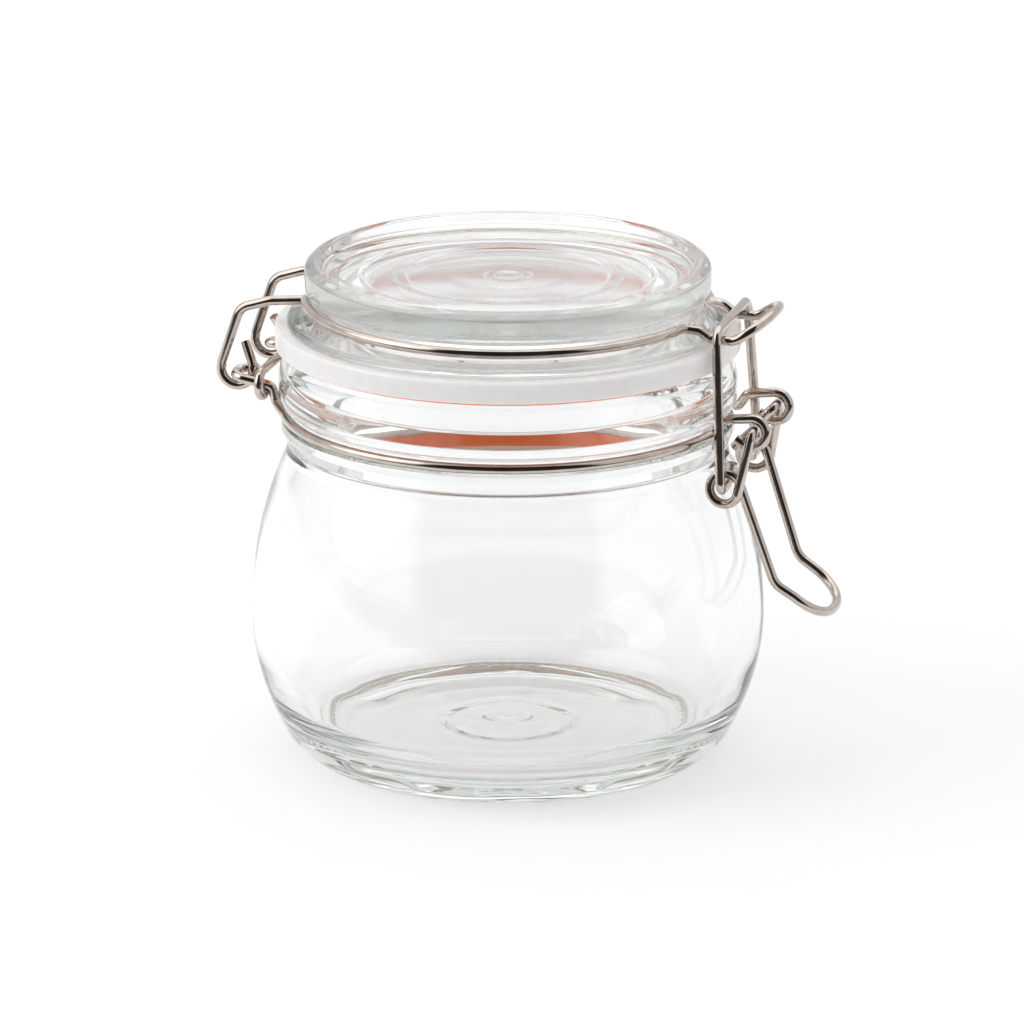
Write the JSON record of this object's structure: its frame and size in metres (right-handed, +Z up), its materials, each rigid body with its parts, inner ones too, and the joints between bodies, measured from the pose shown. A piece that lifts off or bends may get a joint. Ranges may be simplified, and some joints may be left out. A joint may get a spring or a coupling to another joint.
{
  "type": "clip-top glass storage jar",
  "caption": "Empty round glass storage jar with a hinged glass lid, a rubber seal and a wire clasp.",
  "frame": {"origin": "on the surface that the jar stands on, under the middle of the whole outline with its wires", "axes": "+X from the hinge towards the clasp, +Z up along the jar's axis"},
  "size_m": [0.128, 0.1052, 0.1029],
  "materials": {
    "clear_glass": "clear pressed glass, thick and glossy",
    "lid_glass": "clear pressed glass with faint rings",
    "pale_rubber": "pale translucent rubber",
    "orange_rubber": "orange rubber",
    "bright_wire": "bright drawn steel wire"
  },
  "bodies": {
    "jar": {"glass_body": "clear_glass", "neck_wire_near": "bright_wire", "neck_wire_far": "bright_wire", "hinge_axle": "bright_wire"},
    "lid": {"glass_lid": "lid_glass", "lid_wire": "bright_wire", "outer_seal": "pale_rubber", "inner_seal": "orange_rubber"},
    "lever": {"lever_wire": "bright_wire"},
    "bail": {"bail_wire": "bright_wire"}
  },
  "joints": [
    {"name": "lid_hinge", "type": "hinge", "parent": "jar", "child": "lid", "pos_m": [-0.05965, 0, 0.0792], "axis": [0, -1, 0], "range_deg": [0, 110]},
    {"name": "lever_pivot", "type": "hinge", "parent": "jar", "child": "lever", "pos_m": [0.04845, 0, 0.0736], "axis": [0, -1, 0], "range_deg": [0, 88]},
    {"name": "bail_pivot", "type": "hinge", "parent": "lever", "child": "bail", "pos_m": [0.04305, 0, 0.0617], "axis": [0, -1, 0], "range_deg": [-126.5, 0]}
  ],
  "couplings": [
    {"joint": "lever_pivot", "follows": "lid_hinge", "ratio": 0.8},
    {"joint": "bail_pivot", "follows": "lid_hinge", "ratio": -1.15}
  ]
}
